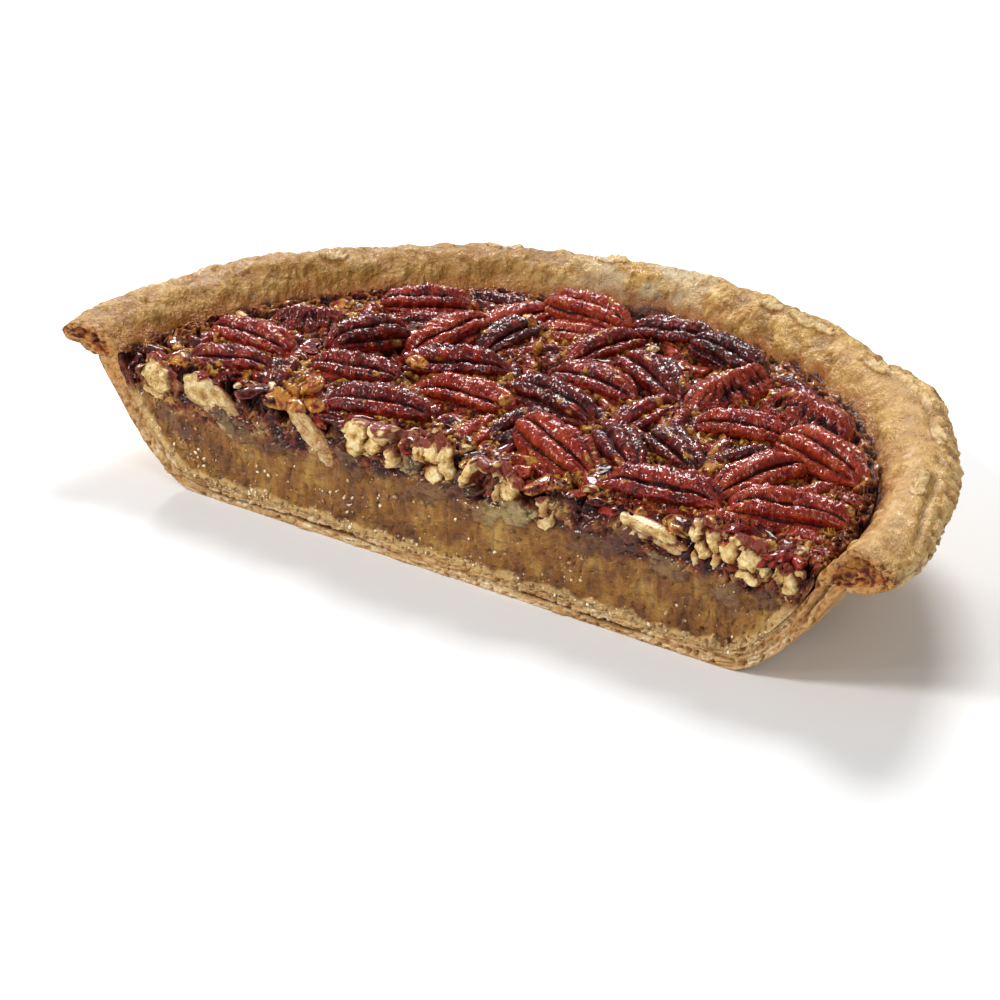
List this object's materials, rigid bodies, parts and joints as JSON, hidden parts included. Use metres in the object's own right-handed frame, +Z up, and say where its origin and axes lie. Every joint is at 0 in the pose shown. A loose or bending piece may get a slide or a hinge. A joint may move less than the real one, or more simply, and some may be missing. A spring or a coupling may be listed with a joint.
{
  "type": "pecan pie",
  "caption": "Half of a deep pecan pie, cut straight across: rolled crust rim, set custard, a layer of nuts at the cut and glazed pecan halves on top.",
  "frame": {"origin": "centre of the half's bounding box on the surface that it stands on", "axes": "+X along the straight cut, +Y from the cut to the round back, +Z up"},
  "size_m": [0.2446, 0.1228, 0.0404],
  "materials": {
    "crust": "baked pastry, golden brown with browner and floury patches, slightly greasy",
    "custard": "set brown sugar custard, moist, with a soft gloss",
    "glazed_filling": "dark sticky filling with froth and pieces of nut, glossy",
    "pecan_skin": "dark red brown pecan skin under a clear glaze, glossy",
    "pecan_flesh": "cream coloured cut pecan, waxy"
  },
  "bodies": {
    "root": {"crust": "crust", "custard": "custard", "pecan_layer": "glazed_filling", "cut_pecan_01": "pecan_flesh", "cut_pecan_02": "pecan_flesh", "cut_pecan_03": "pecan_flesh", "cut_pecan_04": "pecan_flesh", "cut_pecan_05": "pecan_flesh", "cut_pecan_06": "pecan_flesh", "cut_pecan_07": "pecan_flesh", "cut_pecan_08": "pecan_flesh", "cut_pecan_09": "pecan_flesh", "cut_pecan_10": "pecan_flesh", "cut_pecan_11": "pecan_flesh", "cut_pecan_12": "pecan_flesh", "pecan_low_01": "pecan_skin", "pecan_low_02": "pecan_skin", "pecan_low_03": "pecan_skin", "pecan_low_04": "pecan_skin", "pecan_low_05": "pecan_skin", "pecan_low_06": "pecan_skin", "pecan_low_07": "pecan_skin", "pecan_low_08": "pecan_skin", "pecan_low_09": "pecan_skin", "pecan_low_10": "pecan_skin", "pecan_low_11": "pecan_skin", "pecan_low_12": "pecan_skin", "pecan_low_13": "pecan_skin", "pecan_low_14": "pecan_skin", "pecan_low_15": "pecan_skin", "pecan_low_16": "pecan_skin", "pecan_low_17": "pecan_skin", "pecan_low_18": "pecan_skin", "pecan_high_01": "pecan_skin", "pecan_high_02": "pecan_skin", "pecan_high_03": "pecan_skin", "pecan_high_04": "pecan_skin", "pecan_high_05": "pecan_skin", "pecan_high_06": "pecan_skin", "pecan_high_07": "pecan_skin", "pecan_high_08": "pecan_skin", "pecan_high_09": "pecan_skin", "pecan_high_10": "pecan_skin", "pecan_high_11": "pecan_skin", "pecan_high_12": "pecan_skin", "pecan_high_13": "pecan_skin", "pecan_high_14": "pecan_skin", "pecan_high_15": "pecan_skin", "pecan_high_16": "pecan_skin", "pecan_high_17": "pecan_skin", "pecan_high_18": "pecan_skin", "pecan_high_19": "pecan_skin", "pecan_high_20": "pecan_skin", "pecan_high_21": "pecan_skin", "pecan_high_22": "pecan_skin", "pecan_high_23": "pecan_skin", "pecan_high_24": "pecan_skin", "pecan_turned_01": "pecan_skin", "pecan_turned_02": "pecan_skin", "pecan_turned_03": "pecan_skin"}
  },
  "joints": []
}
